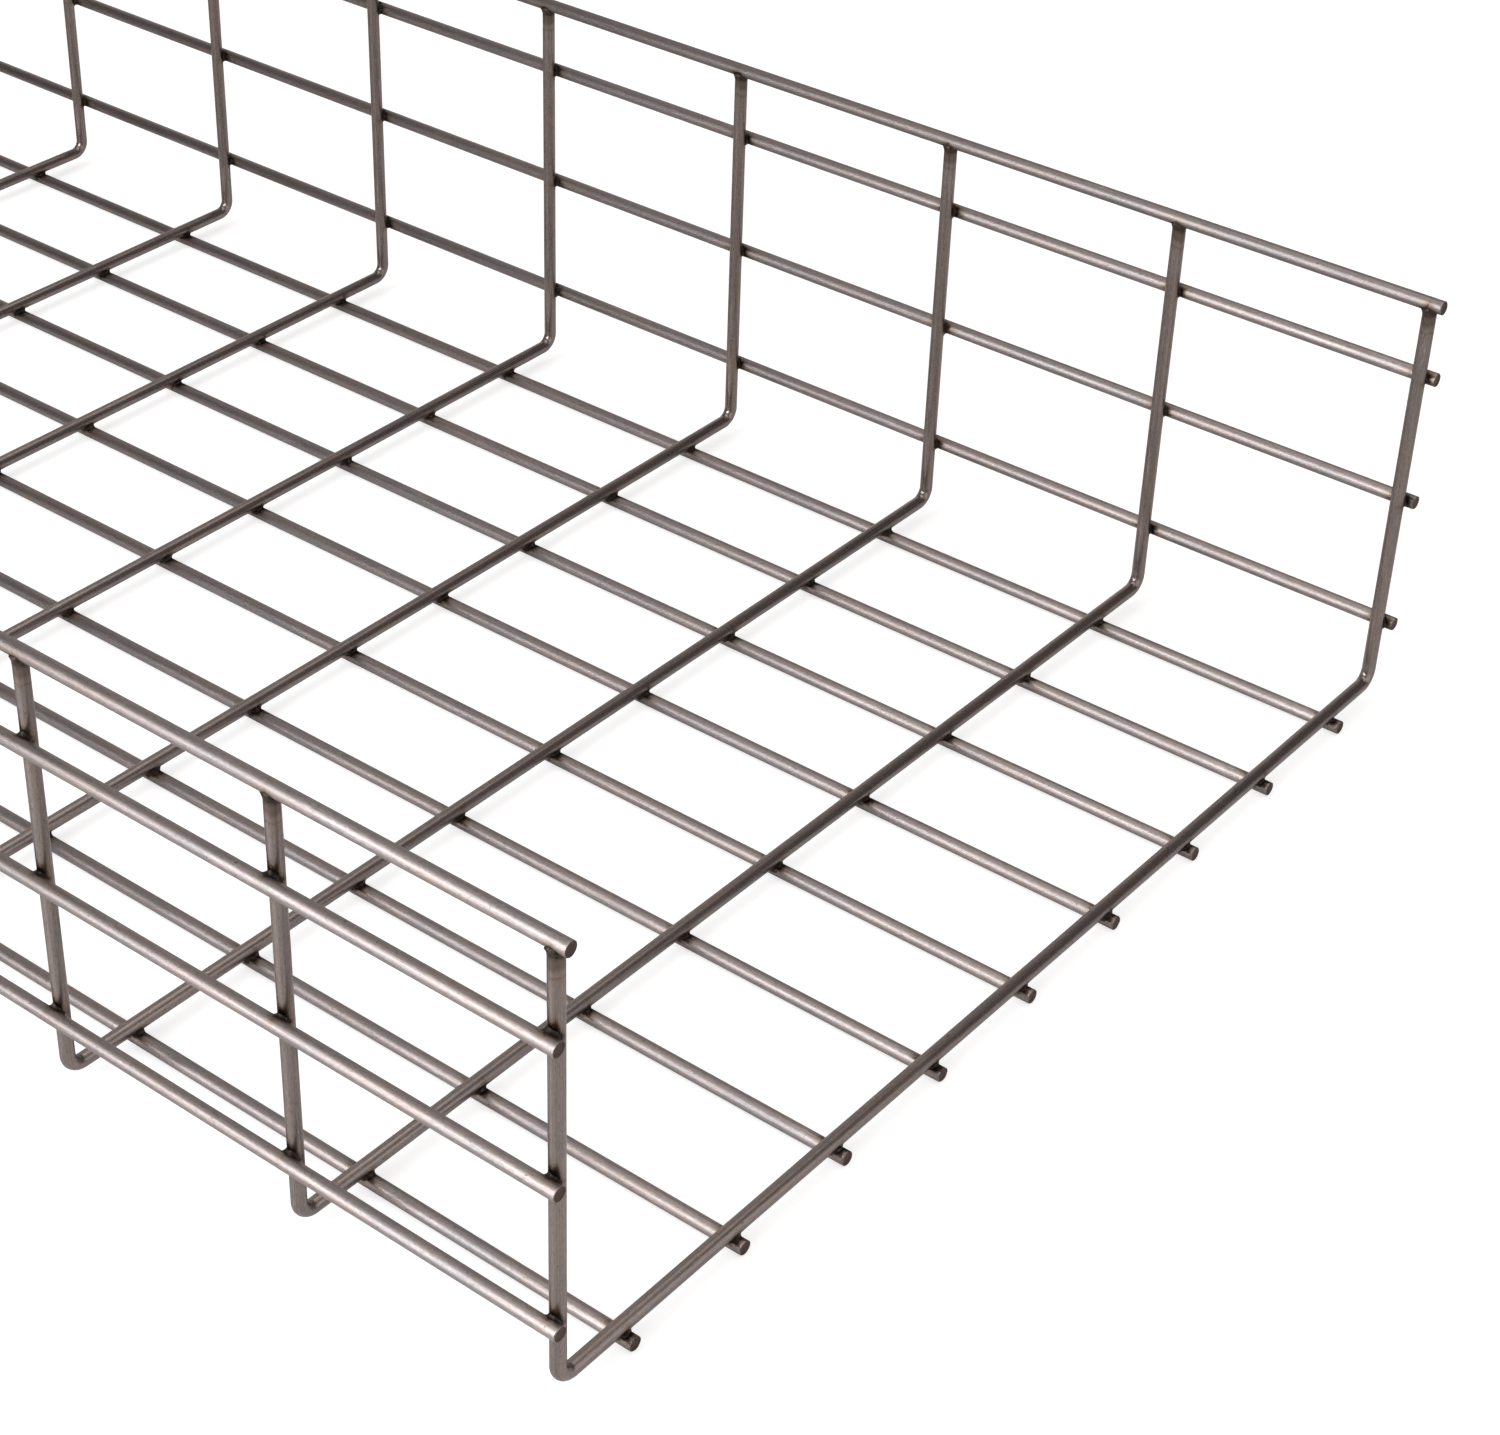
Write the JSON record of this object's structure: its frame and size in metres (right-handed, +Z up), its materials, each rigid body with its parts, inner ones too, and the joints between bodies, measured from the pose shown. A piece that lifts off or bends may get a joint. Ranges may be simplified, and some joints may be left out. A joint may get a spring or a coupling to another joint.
{
  "type": "wire mesh cable basket",
  "caption": "Straight length of U-shaped welded wire mesh basket that carries cables: open on top and at both ends, with closed top edges.",
  "frame": {"origin": "centre of the basket's footprint, on the level that the floor wires rest on", "axes": "+X along the basket, +Y to its left side seen along +X, +Z up out of its open top"},
  "size_m": [3.01, 0.4694, 0.1647],
  "materials": {
    "wire": "bare drawn steel wire, satin, with fine drawing lines and brown weld tint"
  },
  "bodies": {
    "root": {"floor_wire_1": "wire", "floor_wire_2": "wire", "floor_wire_3": "wire", "floor_wire_4": "wire", "floor_wire_5": "wire", "floor_wire_6": "wire", "floor_wire_7": "wire", "floor_wire_8": "wire", "floor_wire_9": "wire", "side_wire_left_lower": "wire", "side_wire_left_middle": "wire", "side_wire_left_upper": "wire", "side_wire_right_lower": "wire", "side_wire_right_middle": "wire", "side_wire_right_upper": "wire", "top_wire_left": "wire", "top_wire_right": "wire", "cross_wire_01": "wire", "cross_wire_02": "wire", "cross_wire_03": "wire", "cross_wire_04": "wire", "cross_wire_05": "wire", "cross_wire_06": "wire", "cross_wire_07": "wire", "cross_wire_08": "wire", "cross_wire_09": "wire", "cross_wire_10": "wire", "cross_wire_11": "wire", "cross_wire_12": "wire", "cross_wire_13": "wire", "cross_wire_14": "wire", "cross_wire_15": "wire", "cross_wire_16": "wire", "cross_wire_17": "wire", "cross_wire_18": "wire", "cross_wire_19": "wire", "cross_wire_20": "wire", "cross_wire_21": "wire", "cross_wire_22": "wire", "cross_wire_23": "wire", "cross_wire_24": "wire", "cross_wire_25": "wire", "cross_wire_26": "wire", "cross_wire_27": "wire", "cross_wire_28": "wire", "cross_wire_29": "wire", "cross_wire_30": "wire", "cross_wire_31": "wire"}
  },
  "joints": []
}
